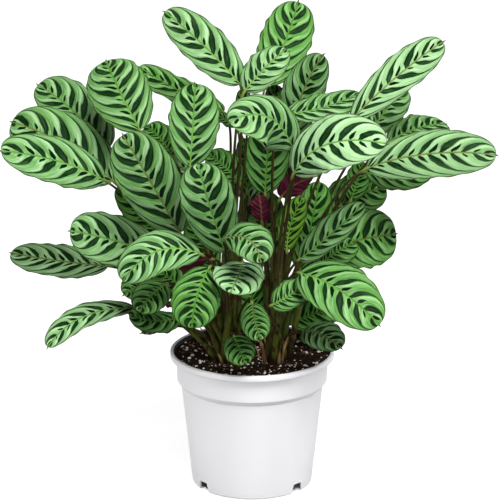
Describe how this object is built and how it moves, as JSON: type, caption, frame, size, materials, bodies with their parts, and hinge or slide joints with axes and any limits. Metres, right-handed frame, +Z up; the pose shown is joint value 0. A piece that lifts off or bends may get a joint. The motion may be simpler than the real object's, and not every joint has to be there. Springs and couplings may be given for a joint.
{
  "type": "potted prayer plant",
  "caption": "Bushy potted house plant with long oblong patterned leaves on thin stalks, rising from soil in a plain white nursery pot.",
  "frame": {"origin": "centre of the pot's flat underside, on the surface that it stands on", "axes": "+Z up along the pot's axis; -Y is the side that the picture shows; +X to the right in the picture"},
  "size_m": [0.4945, 0.3349, 0.4972],
  "materials": {
    "white plastic": "smooth moulded white plastic, low sheen",
    "potting soil": "moist dark peat with white perlite grains",
    "stalk": "satin olive green stalks, maroon near the blade",
    "leaf": "satin pale green with dark green herringbone bars, wine red beneath"
  },
  "bodies": {
    "root": {"leaf_back_centre_low": "leaf", "leaf_back_centre_upper": "leaf", "leaf_back_left_low": "leaf", "leaf_back_left_middle": "leaf", "leaf_back_left_upper": "leaf", "leaf_back_right_low": "leaf", "leaf_back_right_middle": "leaf", "leaf_back_right_upper": "leaf", "leaf_centre_back": "leaf", "leaf_centre_back_small": "leaf", "leaf_centre_big": "leaf", "leaf_centre_crumpled": "leaf", "leaf_centre_left": "leaf", "leaf_centre_small_light": "leaf", "leaf_centre_top": "leaf", "leaf_dark_left_high": "leaf", "leaf_dark_left_under": "leaf", "leaf_front_hanging": "leaf", "leaf_left_big": "leaf", "leaf_left_curly": "leaf", "leaf_left_folded": "leaf", "leaf_left_high": "leaf", "leaf_left_high_back": "leaf", "leaf_left_inner": "leaf", "leaf_left_inner_back": "leaf", "leaf_left_low": "leaf", "leaf_left_mid": "leaf", "leaf_left_mid_back": "leaf", "leaf_left_mid_front": "leaf", "leaf_left_under": "leaf", "leaf_left_upper_back": "leaf", "leaf_low_centre_small": "leaf", "leaf_low_centre_upper": "leaf", "leaf_low_right_small": "leaf", "leaf_purple_back": "leaf", "leaf_purple_small": "leaf", "leaf_right_back_small": "leaf", "leaf_right_front": "leaf", "leaf_right_high": "leaf", "leaf_right_high_back": "leaf", "leaf_right_inner": "leaf", "leaf_right_long": "leaf", "leaf_right_low_back": "leaf", "leaf_right_low_front": "leaf", "leaf_right_mid_dark": "leaf", "leaf_right_rolled": "leaf", "leaf_right_round": "leaf", "leaf_right_under": "leaf", "leaf_right_upper": "leaf", "leaf_top_back": "leaf", "leaf_top_front": "leaf", "leaf_top_left": "leaf", "leaf_top_right": "leaf", "leaf_young_upright": "leaf", "pot": "white plastic", "soil": "potting soil", "stalks_back_left": "stalk", "stalks_back_right": "stalk", "stalks_front_left": "stalk", "stalks_front_right": "stalk"}
  },
  "joints": []
}
